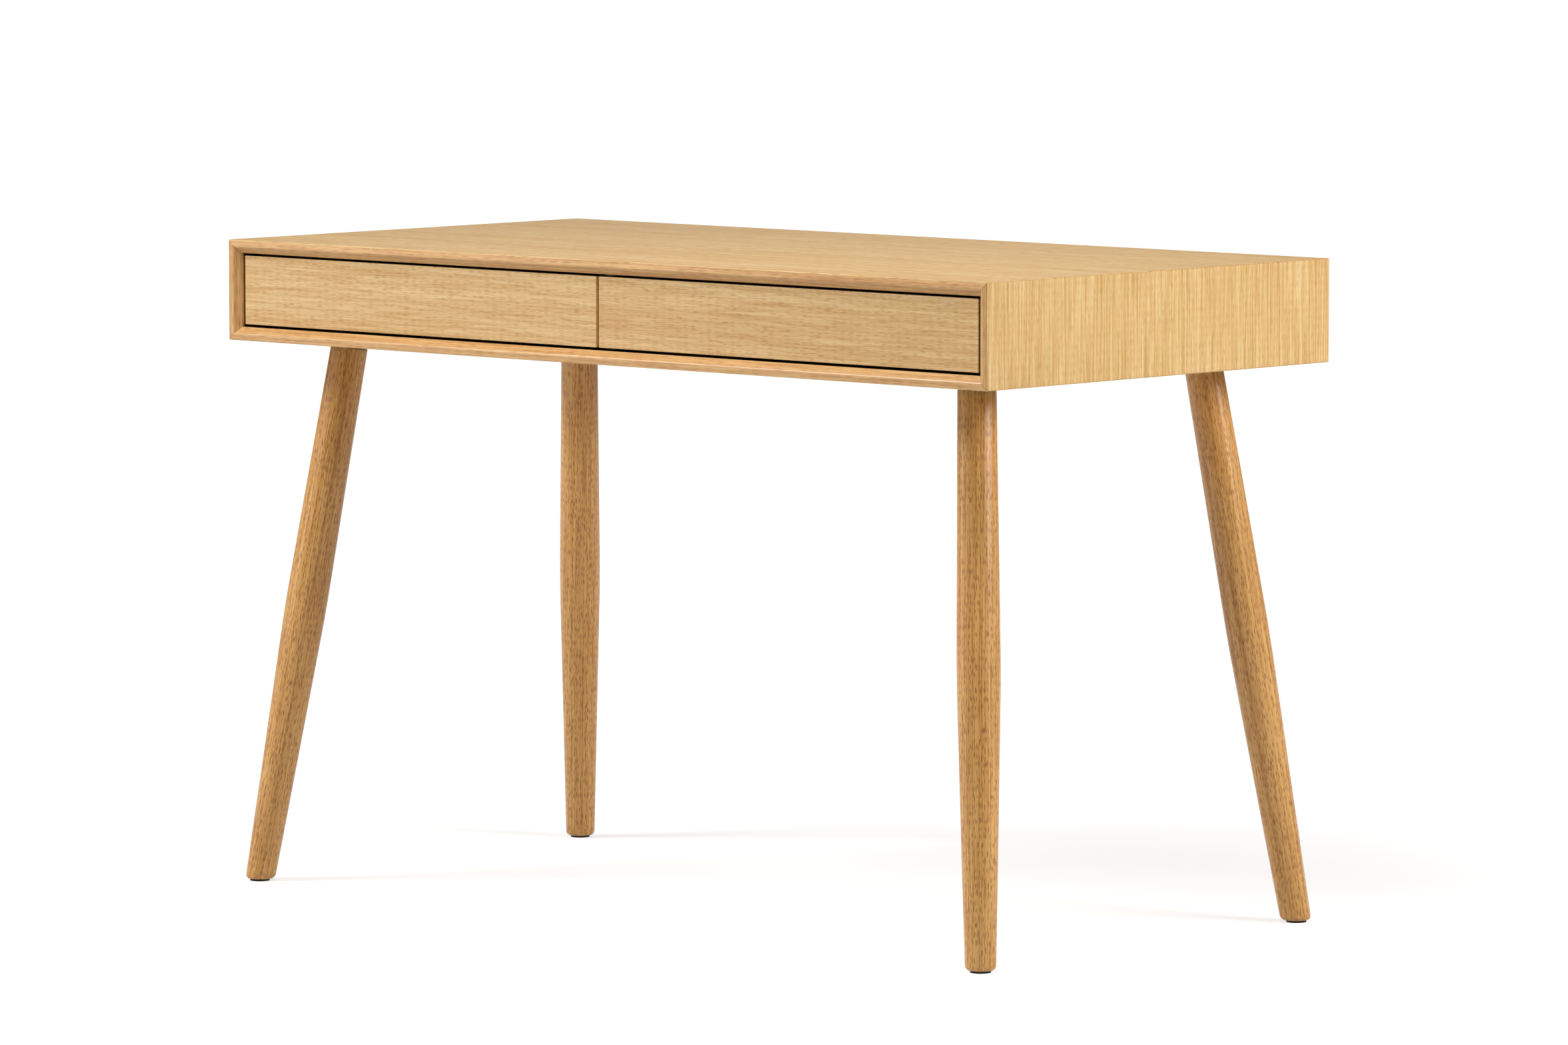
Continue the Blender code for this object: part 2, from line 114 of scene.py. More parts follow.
def build_oak():
    """Sawn oak. Local X runs along the grain, and the pith lies on the X axis."""
    tree, given, result = new_group(
        "sawn oak",
        [
            ("Light", "Color", colour(245, 211, 150)),
            ("Dark", "Color", colour(213, 161, 88)),
            ("Pore", "Color", colour(174, 112, 48)),
            ("Ring Width", "Float", 0.004),
            ("Waviness", "Float", 0.012),
            ("Taper", "Float", 0.02),
            ("Ring Contrast", "Float", 0.2),
            ("Streakiness", "Float", 1.0),
            ("Pore Length", "Float", 0.018),
            ("Pore Width", "Float", 0.0008),
            ("Pore Amount", "Float", 0.7),
            ("Pore Strength", "Float", 0.65),
        ],
    )
    vector = given["Vector"]
    axes = add_node(tree, "SeparateXYZ", {"Vector": vector}).outputs

    # Growth rings: distance from the pith, bent by slow waves, with uneven widths.
    across = maths(tree, "MULTIPLY", axes["Y"], axes["Y"])
    deep = maths(tree, "MULTIPLY", axes["Z"], axes["Z"])
    distance = maths(tree, "SQRT", maths(tree, "ADD", across, deep))
    slow = swing(tree, noise(tree, vector, (1.6, 7.0, 7.0)), 1.0)
    slow = maths(tree, "MULTIPLY", slow, given["Waviness"])
    quick = swing(tree, noise(tree, vector, (14.0, 60.0, 60.0)), 0.16)
    quick = maths(tree, "MULTIPLY", quick, given["Waviness"])
    rise = maths(tree, "MULTIPLY", axes["X"], given["Taper"])
    bent = maths(tree, "ADD", maths(tree, "ADD", distance, slow), maths(tree, "ADD", quick, rise))
    rings = maths(tree, "DIVIDE", bent, given["Ring Width"])
    uneven = add_node(tree, "TexNoise", {"W": rings, "Scale": 0.45, "Detail": 1.0}, noise_dimensions="1D")
    rings = maths(tree, "ADD", rings, maths(tree, "MULTIPLY", uneven.outputs["Fac"], 2.4))
    year = maths(tree, "FRACT", rings)
    early = maths(tree, "MULTIPLY", ramp(tree, year, 0.0, 0.16), ramp(tree, year, 0.2, 0.85, 1.0, 0.0))

    # Vessels: short dark slots along the grain, crowded into each year's early wood.
    size = add_node(
        tree, "CombineXYZ", {"X": given["Pore Length"], "Y": given["Pore Width"], "Z": given["Pore Width"]}
    )
    scaled = add_node(tree, "VectorMath", {0: vector, 1: size.outputs[0]}, operation="DIVIDE").outputs[0]
    cells = add_node(tree, "TexVoronoi", {"Vector": scaled, "Scale": 1.0})
    slot = ramp(tree, cells.outputs["Distance"], 0.3, 0.52, 1.0, 0.0)
    chance = add_node(tree, "SeparateColor", {"Color": cells.outputs["Color"]}).outputs["Red"]
    crowd = maths(tree, "MULTIPLY", ramp(tree, early, 0.0, 1.0, 0.5, 1.0), given["Pore Amount"])
    chosen = ramp(tree, maths(tree, "SUBTRACT", crowd, chance), -0.02, 0.06)
    pores = maths(tree, "MULTIPLY", slot, chosen)

    # Fibre and tone: fine streaks, broad streaks and slow patches of lighter and darker wood.
    fibre = noise(tree, vector, (20.0, 900.0, 900.0))
    streak = noise(tree, vector, (8.0, 330.0, 330.0), 3.0)
    band = noise(tree, vector, (3.0, 110.0, 110.0))
    patch = noise(tree, vector, (2.2, 16.0, 16.0))
    tone = maths(tree, "MULTIPLY", early, given["Ring Contrast"])
    streaks = maths(tree, "MULTIPLY", swing(tree, streak, 1.5), given["Streakiness"])
    for wave in (swing(tree, fibre, 1.2), swing(tree, band, 0.6), swing(tree, patch, 0.5), streaks):
        tone = maths(tree, "ADD", tone, wave)
    tone = add_node(tree, "Clamp", {"Value": maths(tree, "ADD", tone, 0.35)}).outputs[0]
    wood = mixed(tree, tone, given["Light"], given["Dark"])
    stained = mixed(tree, maths(tree, "MULTIPLY", pores, given["Pore Strength"]), wood, given["Pore"])

    rough = maths(tree, "ADD", maths(tree, "MULTIPLY", pores, 0.2), maths(tree, "MULTIPLY", tone, 0.06))
    height = maths(tree, "SUBTRACT", maths(tree, "MULTIPLY", fibre, 0.3), pores)
    tree.links.new(stained, result["Color"])
    tree.links.new(maths(tree, "ADD", rough, 0.42), result["Roughness"])
    tree.links.new(height, result["Height"])
    return tree


oak_group = build_oak()


def surface_material(name, group, metallic, relief, place=None, **look):
    """A material whose colour, roughness and relief come from a shader group."""
    material = bpy.data.materials.new(name)
    material.use_nodes = True
    tree = material.node_tree
    shader = tree.nodes["Principled BSDF"]
    vector = place(tree) if place else add_node(tree, "TexCoord", {}).outputs["Object"]
    node = tree.nodes.new("ShaderNodeGroup")
    node.node_tree = group
    tree.links.new(vector, node.inputs["Vector"])
    for label, value in look.items():
        node.inputs[label.replace("_", " ").title()].default_value = value
    bump = add_node(tree, "Bump", {"Height": node.outputs["Height"], "Distance": relief, "Strength": 1.0})
    tree.links.new(node.outputs["Color"], shader.inputs["Base Color"])
    tree.links.new(node.outputs["Roughness"], shader.inputs["Roughness"])
    tree.links.new(bump.outputs["Normal"], shader.inputs["Normal"])
    shader.inputs["Metallic"].default_value = metallic
    return material


def oak_material(
    name,
    turn=(0, 0, 0),
    pith=(0, 0, 0),
    attribute=None,
    relief=0.00001,
    specular=0.4,
    coat=0.1,
    gloss=0.4,
    **look,
):
    """Lacquered oak. turn brings the grain onto X and pith moves the heart off the piece."""

    def along_grain(tree):
        if attribute is None:
            source = add_node(tree, "TexCoord", {}).outputs["Object"]
        else:
            source = add_node(tree, "Attribute", {}, attribute_name=attribute).outputs["Vector"]
        rotation = tuple(math.radians(angle) for angle in turn)
        placed = add_node(tree, "Mapping", {"Vector": source, "Location": pith, "Rotation": rotation})
        return placed.outputs["Vector"]

    material = surface_material(name, oak_group, 0.0, relief, along_grain, **look)
    inputs = material.node_tree.nodes["Principled BSDF"].inputs
    inputs["IOR"].default_value = 1.45
    inputs["Specular IOR Level"].default_value = specular
    inputs["Coat Weight"].default_value = coat
    inputs["Coat Roughness"].default_value = gloss
    return material


def make_piece(name, bm, material, body, nodes=(), smooth=None):
    """Turns a finished bmesh into a piece that rides on a body and stands for its nodes."""
    bmesh.ops.remove_doubles(bm, verts=bm.verts, dist=1e-7)
    bmesh.ops.recalc_face_normals(bm, faces=bm.faces)
    mesh = bpy.data.meshes.new(name)
    bm.to_mesh(mesh)
    bm.free()
    mesh.materials.append(material)
    if smooth is not None:
        mesh.shade_smooth()
        mesh.set_sharp_from_angle(angle=math.radians(smooth))
    piece = bpy.data.objects.new(name, mesh)
    bpy.context.scene.collection.objects.link(piece)
    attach(piece, body)
    if nodes:
        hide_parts(*nodes)
    return piece


def soften(bm, edges, radius, segments=3):
    """Rounds off edges, as sanding and lacquer do."""
    bmesh.ops.bevel(
        bm,
        geom=list(edges),
        offset=radius,
        offset_type="OFFSET",
        segments=segments,
        profile=0.5,
        affect="EDGES",
        material=-1,
        clamp_overlap=True,
    )


def extruded(points, run):
    """A closed flat outline extruded along run."""
    bm = bmesh.new()
    face = bm.faces.new([bm.verts.new(point) for point in points])
    grown = bmesh.ops.extrude_face_region(bm, geom=[face])
    moved = [item for item in grown["geom"] if isinstance(item, bmesh.types.BMVert)]
    bmesh.ops.translate(bm, vec=run, verts=moved)
    return bm


def cut_away(bm, point, normal):
    """Removes what lies beyond a plane, caps the cut and returns the cap's edges."""
    geom = bm.verts[:] + bm.edges[:] + bm.faces[:]
    cut = bmesh.ops.bisect_plane(
        bm, geom=geom, plane_co=point, plane_no=normal, clear_outer=True, dist=1e-7
    )
    rim = [item for item in cut["geom_cut"] if isinstance(item, bmesh.types.BMEdge)]
    bmesh.ops.holes_fill(bm, edges=rim, sides=0)
    return rim


top_low, top_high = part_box("case_top_panel")
under_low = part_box("case_bottom_panel")[0]
right_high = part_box("case_right_panel")[1]
case_half = Vector((right_high.x, top_high.y, (top_high.z - under_low.z) / 2))
case_middle = Vector((0, 0, (top_high.z + under_low.z) / 2))
board_thickness = top_high.z - top_low.z
walls = {
    "top": Vector((0, 0, 1)),
    "bottom": Vector((0, 0, -1)),
    "left": Vector((-1, 0, 0)),
    "right": Vector((1, 0, 0)),
}
mitre_joint = 0.00022


def wall_axes(outward):
    """A wall's direction, half its length and its distance from the case's middle."""
    if outward.z:
        return Vector((1, 0, 0)), case_half.x, case_half.z
    return Vector((0, 0, 1)), case_half.z, case_half.x


def wall_piece(outward, outline):
    """Extrudes (y, depth below the outer face) pairs along one wall, mitred at both ends."""
    along, half_run, reach = wall_axes(outward)
    start = case_middle + outward * reach - along * half_run
    points = [start + Vector((0, y, 0)) - outward * depth for y, depth in outline]
    bm = extruded(points, along * 2 * half_run)
    for end in (-1, 1):
        corner = case_middle + outward * reach + along * end * (half_run - mitre_joint)
        cut_away(bm, corner, along * end - outward)
    return bm


lipping_low, lipping_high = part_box("front_lipping_top")
veneer = 0.0009
strip_y = lipping_low.y + 0.001
lipping_back = lipping_high.y
board_outline = [
    (strip_y, 0.0),
    (strip_y, veneer),
    (lipping_back + 0.0001, veneer),
    (lipping_back + 0.0001, board_thickness),
    (top_high.y, board_thickness),
    (top_high.y, 0.0),
]
level_look = {
    "turn": (0, 0, 0),
    "ring_width": 0.006,
    "taper": 0.012,
    "ring_contrast": 0.22,
    "coat": 0.25,
    "gloss": 0.28,
}
upright_look = {
    "turn": (0, 90, 0),
    "ring_width": 0.0042,
    "taper": 0.01,
    "waviness": 0.002,
    "ring_contrast": 0.2,
    "streakiness": 1.6,
    "pore_length": 0.010,
    "pore_strength": 0.34,
}
board_looks = {
    "top": {"pith": (0.4, 0.75, 0.2), **level_look},
    "bottom": {"pith": (1.7, -0.8, 0.1), **level_look},
    "left": {"pith": (0.9, 0.95, 0.35), **upright_look},
    "right": {"pith": (2.3, -1.15, 0.3), **upright_look},
}
for wall, outward in walls.items():
    bm = wall_piece(outward, board_outline)
    reach = wall_axes(outward)[2]
    outer = []
    for edge in bm.edges:
        if min((vert.co - case_middle).dot(outward) for vert in edge.verts) > reach - 1e-5:
            outer.append(edge)
    soften(bm, outer, 0.0008, 4)
    make_piece(
        f"oak_board_{wall}",
        bm,
        oak_material(f"oak veneer {wall}", **board_looks[wall]),
        "case",
        [f"case_{wall}_panel"],
    )

# ---------------------------------------------------------------------------------------
# Front lippings. Solid oak mouldings glued to the boards' front edges and mitred like a
# picture frame: an outer strip that swells to a ridge, then a bevel that falls away to the
# drawers. The grain runs along each moulding.
# ---------------------------------------------------------------------------------------

ridge_y = lipping_low.y
strip_width = 0.008
bevel_depth = 0.008
glue_joints = {"top": 0.00003, "bottom": 0.00003, "left": 0.0006, "right": 0.0006}
lipping_looks = {
    "top": {"turn": (0, 0, 0), "pith": (0.1, 0.31, -0.70)},
    "bottom": {"turn": (0, 0, 0), "pith": (3.1, 0.33, -0.62)},
    "left": {"turn": (0, 90, 0), "pith": (5.2, 0.32, 0.55)},
    "right": {"turn": (0, 90, 0), "pith": (7.7, 0.34, -0.64)},
}
for wall, outward in walls.items():
    joint = veneer + glue_joints[wall]
    outline = [
        (strip_y, joint),
        (ridge_y, strip_width),
        (ridge_y + bevel_depth, board_thickness),
        (lipping_back, board_thickness),
        (lipping_back, joint),
    ]
    bm = wall_piece(outward, outline)
    along = wall_axes(outward)[0]
    ridge = []
    inner = []
    for edge in bm.edges:
        run = edge.verts[1].co - edge.verts[0].co
        if abs(run.normalized().dot(along)) < 0.99:
            continue
        if abs(edge.verts[0].co.y - ridge_y) < 1e-5:
            ridge.append(edge)
        elif abs(edge.verts[0].co.y - ridge_y - bevel_depth) < 1e-5:
            inner.append(edge)
    soften(bm, ridge, 0.0018, 5)
    inner = [edge for edge in inner if edge.is_valid]
    soften(bm, inner, 0.0003)
    make_piece(
        f"front_moulding_{wall}",
        bm,
        oak_material(
            f"oak lipping {wall}",
            light=colour(232, 184, 116),
            dark=colour(196, 134, 66),
            ring_width=0.0032,
            waviness=0.004,
            taper=0.006,
            coat=0.8,
            gloss=0.3,
            **lipping_looks[wall],
        ),
        "case",
        [f"front_lipping_{wall}"],
        smooth=40,
    )

# ---------------------------------------------------------------------------------------
# Back panel and divider. The back is a veneered board let in 3 mm behind the case's rear
# edges. The divider stands behind the gap between the drawers and carries a slide on
# either face.
# ---------------------------------------------------------------------------------------


def board_between(low, high):
    bm = bmesh.new()
    bmesh.ops.create_cube(bm, size=1.0)
    bmesh.ops.scale(bm, vec=high - low, verts=bm.verts)
    bmesh.ops.translate(bm, vec=(low + high) / 2, verts=bm.verts)
    return bm


inside_colours = {"light": colour(222, 190, 142), "dark": colour(190, 148, 98), "pore_strength": 0.45}
back_low, back_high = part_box("case_back_panel")
bm = board_between(back_low, back_high)
soften(bm, bm.edges, 0.0004, 2)
back_look = oak_material(
    "oak veneer back", turn=(90, 0, 0), pith=(4.4, 0.62, 0.25), ring_width=0.005, taper=0.03
)
make_piece("oak_back", bm, back_look, "case", ["case_back_panel"])

divider_low, divider_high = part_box("centre_divider")
bm = board_between(divider_low, divider_high)
soften(bm, bm.edges, 0.0005, 2)
divider_look = oak_material(
    "oak divider", turn=(0, 0, 90), pith=(1.2, 0.02, 0.5), coat=0.0, **inside_colours
)
make_piece("oak_divider", bm, divider_look, "case", ["centre_divider"])

# ---------------------------------------------------------------------------------------
# Legs. Turned from solid oak on a lathe: two long straight tapers that meet in a soft belly
# half way down, the foot cut level and rounded over. Each leans out along both axes.
# ---------------------------------------------------------------------------------------


def turned(profile, steps):
    """A profile of (radius, height) pairs, from axis to axis, spun round Z."""
    bm = bmesh.new()
    verts = [bm.verts.new((radius, 0.0, height)) for radius, height in profile]
    edges = [bm.edges.new(pair) for pair in zip(verts, verts[1:])]
    bmesh.ops.spin(
        bm, geom=verts + edges, axis=(0, 0, 1), cent=(0, 0, 0), angle=math.tau, steps=steps, use_merge=True
    )
    bmesh.ops.remove_doubles(bm, verts=bm.verts, dist=1e-6)
    return bm


def leg_placing(corner):
    """Where a leg meets the case, its length down to the floor and how it is turned."""
    plate_low, plate_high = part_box(f"leg_plate_{corner}")
    pad_low, pad_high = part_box(f"foot_pad_{corner}")
    plate = (plate_low + plate_high) / 2
    pad = (pad_low + pad_high) / 2
    top = Vector((plate.x, plate.y, under_low.z))
    run = Vector((pad.x, pad.y, 0.0)) - top
    return top, run.length, Vector((0, 0, -1)).rotation_difference(run)


def tilt(bm, top, turn):
    """Puts a piece turned round Z onto its leg's axis."""
    matrix = Matrix.Translation(top) @ turn.to_matrix().to_4x4()
    bmesh.ops.transform(bm, matrix=matrix, verts=bm.verts)


leg_top_radius = 0.0220
leg_belly_radius = 0.0250
leg_foot_radius = 0.0175
leg_belly_at = 0.495
leg_belly_blend = 0.035
leg_drop = 0.0085
leg_arris = 0.0014
foot_round = 0.0055
corners = {"front_left": 0.0, "front_right": 2.3, "rear_left": 4.1, "rear_right": 6.7}


def leg_profile(length, drop):
    """Half the leg's section from its top, down the outside, to below the floor."""
    belly = leg_belly_at * length

    def straight_radius(s):
        if s < belly:
            return leg_top_radius + (leg_belly_radius - leg_top_radius) * s / belly
        return leg_belly_radius + (leg_foot_radius - leg_belly_radius) * (s - belly) / (length - belly)

    top_radius = straight_radius(drop)
    profile = [(0.0, -drop)]
    arris_steps = 4
    for step in range(arris_steps + 1):
        angle = math.pi / 2 * step / arris_steps
        out = leg_arris * (1 - math.sin(angle))
        profile.append((top_radius - out, -drop - leg_arris * (1 - math.cos(angle))))
    start = belly - leg_belly_blend
    end = belly + leg_belly_blend
    blend_steps = 12
    for step in range(blend_steps + 1):
        t = step / blend_steps
        bow = 2 * t * (1 - t) * leg_belly_radius
        radius = (1 - t) ** 2 * straight_radius(start) + bow + t ** 2 * straight_radius(end)
        profile.append((radius, -start - (end - start) * t))
    spare = 0.02
    profile.append((straight_radius(length + spare), -length - spare))
    profile.append((0.0, -length - spare))
    return profile


leg_material = oak_material(
    "oak turned",
    attribute="grain",
    light=colour(240, 188, 112),
    dark=colour(196, 132, 58),
    pore=colour(158, 92, 44),
    ring_width=0.0034,
    waviness=0.008,
    taper=0.012,
    ring_contrast=0.3,
    pore_length=0.009,
    pore_width=0.0012,
    pore_amount=0.9,
    pore_strength=0.8,
    relief=0.00003,
    coat=0.5,
    gloss=0.28,
)
leg_steps = 72
for corner, start in corners.items():
    top, length, turn = leg_placing(corner)
    lean = length / top.z
    bm = turned(leg_profile(length, leg_drop * lean), leg_steps)
    sole_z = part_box(f"leg_{corner}")[0].z
    rim = cut_away(bm, Vector((0, 0, -(top.z - sole_z) * lean)), turn.inverted() @ Vector((0, 0, -1)))
    soften(bm, rim, foot_round, 6)
    grain = bm.verts.layers.float_vector.new("grain")
    for vert in bm.verts:
        vert[grain] = Vector((start - vert.co.z, vert.co.x + 0.012, vert.co.y + 0.03))
    tilt(bm, top, turn)
    make_piece(f"turned_leg_{corner}", bm, leg_material, "case", [f"leg_{corner}"], smooth=40)

# ---------------------------------------------------------------------------------------
# Drawer fronts. Veneered boards 3 mm clear of the mouldings and 4 mm apart, with every edge
# eased and a groove behind for the bottom. A push on the front opens the drawer.
# ---------------------------------------------------------------------------------------


def sink_pocket(bm, low, high):
    """Sinks a rectangular pocket into the rear face, as deep as the box between the corners."""
    for corner in (low, high):
        for axis in (Vector((1, 0, 0)), Vector((0, 0, 1))):
            geom = bm.verts[:] + bm.edges[:] + bm.faces[:]
            bmesh.ops.bisect_plane(bm, geom=geom, plane_co=corner, plane_no=axis, dist=1e-7)
    mouth = []
    for face in bm.faces:
        centre = face.calc_center_median()
        if centre.y > high.y - 1e-5 and low.x < centre.x < high.x and low.z < centre.z < high.z:
            mouth.append(face)
    grown = bmesh.ops.extrude_face_region(bm, geom=mouth)
    moved = [item for item in grown["geom"] if isinstance(item, bmesh.types.BMVert)]
    bmesh.ops.translate(bm, vec=Vector((0, low.y - high.y, 0)), verts=moved)


groove_depth = 0.006
play = 0.0003
front_looks = {
    "left": {"pith": (0.6, 0.35, 1.25)},
    "right": {"pith": (2.9, 0.42, 1.15)},
}
for side, look in front_looks.items():
    low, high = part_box(f"drawer_{side}_front")
    sheet_low, sheet_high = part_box(f"drawer_{side}_bottom")
    bm = board_between(low, high)
    soften(bm, bm.edges, 0.0006, 3)
    pocket_low = Vector((sheet_low.x - play, sheet_low.y - play, sheet_low.z - play))
    pocket_high = Vector((sheet_high.x + play, high.y, sheet_high.z + play))
    sink_pocket(bm, pocket_low, pocket_high)
    material = oak_material(
        f"oak front {side}",
        turn=(90, 0, 0),
        ring_width=0.0034,
        waviness=0.005,
        taper=0.012,
        ring_contrast=0.12,
        light=colour(238, 203, 145),
        dark=colour(206, 157, 92),
        pore_length=0.012,
        pore_width=0.0007,
        pore_strength=0.5,
        **look,
    )
    node = f"drawer_{side}_front"
    make_piece(f"oak_front_{side}", bm, material, f"drawer_{side}", [node])

# ---------------------------------------------------------------------------------------
# Shadow line. Painted shade: thin near-black sheets lie on the inside faces of the case for the
# first 30 mm behind the mouldings, and on the first 7 mm of each drawer front's top edge, so that
# the 3 mm gap round the drawers, which is only in shade, reads as one thin black line.
# ---------------------------------------------------------------------------------------

shade_sheet_thickness = 0.00025
shade_sheet_length = 0.030
shade_band_depth = 0.007
shade_sheet_starts = {"top": 0.0004, "bottom": 0.0004, "left": 0.0031, "right": 0.0004}
# Painted shade: near-black oak with almost no shine, laid where the gap round the drawers is only in shade.
painted_shade = oak_material(
    "painted shade black",
    light=colour(15, 13, 12),
    dark=colour(9, 8, 8),
    pore=colour(4, 4, 4),
    specular=0.05,
    coat=0.0,
)
for wall, outward in walls.items():
    start = ridge_y + bevel_depth + shade_sheet_starts[wall]
    outline = [
        (start, board_thickness + 0.00001),
        (start, board_thickness + shade_sheet_thickness),
        (start + shade_sheet_length, board_thickness + shade_sheet_thickness),
        (start + shade_sheet_length, board_thickness + 0.00001),
    ]
    bm = wall_piece(outward, outline)
    make_piece(f"shadow_line_{wall}", bm, painted_shade, "case")
# Painted shade along the first 7 mm of each drawer front's top edge, inside the gap above it.
for side in ("left", "right"):
    low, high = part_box(f"drawer_{side}_front")
    band_low = Vector((low.x + 0.001, low.y + 0.0007, high.z + 0.00001))
    band_high = Vector((high.x - 0.001, low.y + shade_band_depth, high.z + shade_sheet_thickness))
    bm = board_between(band_low, band_high)
    make_piece(f"shadow_band_{side}", bm, painted_shade, f"drawer_{side}")

# ---------------------------------------------------------------------------------------
# Drawer boxes. Solid oak sides and backs, 12 mm thick with rounded top edges. The bottom
# is a thin veneered sheet that slides into grooves in the sides and in the front, and
# passes under the back, where small screws hold it.
# ---------------------------------------------------------------------------------------

inside_look = {"ring_width": 0.0045, "ring_contrast": 0.35, "coat": 0.0, **inside_colours}
box_look = oak_material("oak box side", turn=(0, 0, 90), pith=(0.7, 0.6, 0.4), **inside_look)
rear_look = oak_material("oak box back", turn=(90, 0, 0), pith=(2.7, 0.5, 0.6), **inside_look)
sheet_look = oak_material("oak box bottom", pith=(5.1, 0.9, 0.3), **inside_look)
for side in ("left", "right"):
    body = f"drawer_{side}"
    sheet_low, sheet_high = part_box(f"{body}_bottom")
    for place in ("outer", "inner"):
        low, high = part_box(f"{body}_{place}_side")
        inward = 1 if (low.x + high.x) / 2 < (sheet_low.x + sheet_high.x) / 2 else -1
        outside = low.x if inward > 0 else high.x
        inside = high.x if inward > 0 else low.x
        floor_of_groove = inside - inward * (groove_depth + play)
        outline = [
            (outside, low.z),
            (inside, low.z),
            (inside, sheet_low.z - play),
            (floor_of_groove, sheet_low.z - play),
            (floor_of_groove, sheet_high.z + play),
            (inside, sheet_high.z + play),
            (inside, high.z),
            (outside, high.z),
        ]
        bm = extruded([Vector((x, low.y, z)) for x, z in outline], Vector((0, high.y - low.y, 0)))
        upper = [e for e in bm.edges if min(v.co.z for v in e.verts) > high.z - 1e-5]
        soften(bm, [e for e in upper if abs(e.verts[0].co.x - e.verts[1].co.x) < 1e-5], 0.0022, 4)
        node = f"{body}_{place}_side"
        make_piece(f"box_{side}_{place}_side", bm, box_look, body, [node], 40)
    bm = board_between(*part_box(f"{body}_back"))
    top_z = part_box(f"{body}_back")[1].z
    soften(bm, [e for e in bm.edges if min(v.co.z for v in e.verts) > top_z - 1e-5], 0.0018, 4)
    make_piece(f"box_{side}_back", bm, rear_look, body, [f"{body}_back"], 40)
    bm = board_between(sheet_low, sheet_high)
    soften(bm, bm.edges, 0.0003, 1)
    make_piece(f"box_{side}_bottom", bm, sheet_look, body, [f"{body}_bottom"])

# ---------------------------------------------------------------------------------------
# Slides. Two ball slides to a drawer, rolled from zinc-plated strip: a member screwed to
# the case, one screwed to the drawer, and one between that runs on both rows of balls.
# ---------------------------------------------------------------------------------------


def build_metal():
    """Rolled or plated metal: streaks along local Y, fine spangle and rub marks."""
    tree, given, result = new_group(
        "rolled metal",
        [
            ("Bright", "Color", (0.62, 0.64, 0.66, 1.0)),
            ("Dull", "Color", (0.40, 0.41, 0.43, 1.0)),
            ("Roughness", "Float", 0.3),
        ],
    )
    vector = given["Vector"]
    streak = noise(tree, vector, (900.0, 12.0, 900.0), 3.0)
    cloud = noise(tree, vector, (60.0, 60.0, 60.0), 3.0)
    crystals = stretched(tree, vector, (700.0, 500.0, 700.0))
    cells = add_node(tree, "TexVoronoi", {"Vector": crystals, "Scale": 1.0})
    spangle = add_node(tree, "SeparateColor", {"Color": cells.outputs["Color"]}).outputs["Red"]
    wear = ramp(tree, maths(tree, "ADD", streak, swing(tree, cloud, 0.8)), 0.35, 0.7)
    tone = maths(tree, "ADD", maths(tree, "MULTIPLY", wear, 0.7), maths(tree, "MULTIPLY", spangle, 0.3))
    rough = maths(tree, "ADD", given["Roughness"], maths(tree, "MULTIPLY", tone, 0.18))
    tree.links.new(mixed(tree, tone, given["Bright"], given["Dull"]), result["Color"])
    tree.links.new(rough, result["Roughness"])
    height = maths(tree, "ADD", streak, maths(tree, "MULTIPLY", spangle, 0.3))
    tree.links.new(height, result["Height"])
    return tree


metal_group = build_metal()


def carved(bm, tool):
    """What is left of one bmesh after another is cut out of it."""
    pair = []
    for part in (bm, tool):
        bmesh.ops.recalc_face_normals(part, faces=part.faces)
        mesh = bpy.data.meshes.new("carving")
        part.to_mesh(mesh)
        part.free()
        pair.append(bpy.data.objects.new("carving", mesh))
        bpy.context.scene.collection.objects.link(pair[-1])
    cut = pair[0].modifiers.new("cut", "BOOLEAN")
    cut.operation = "DIFFERENCE"
    cut.solver = "EXACT"
    cut.object = pair[1]
    left = bmesh.new()
    left.from_object(pair[0], bpy.context.evaluated_depsgraph_get())
    for item in pair:
        mesh = item.data
        bpy.data.objects.remove(item)
        bpy.data.meshes.remove(mesh)
    return left


def add_rod(bm, radius, start, end, steps=24):
    """Adds a plain round bar between two points."""
    run = end - start
    turn = Vector((0, 0, 1)).rotation_difference(run)
    matrix = Matrix.Translation((start + end) / 2) @ turn.to_matrix().to_4x4()
    bmesh.ops.create_cone(
        bm, cap_ends=True, segments=steps, radius1=radius, radius2=radius, depth=run.length, matrix=matrix
    )


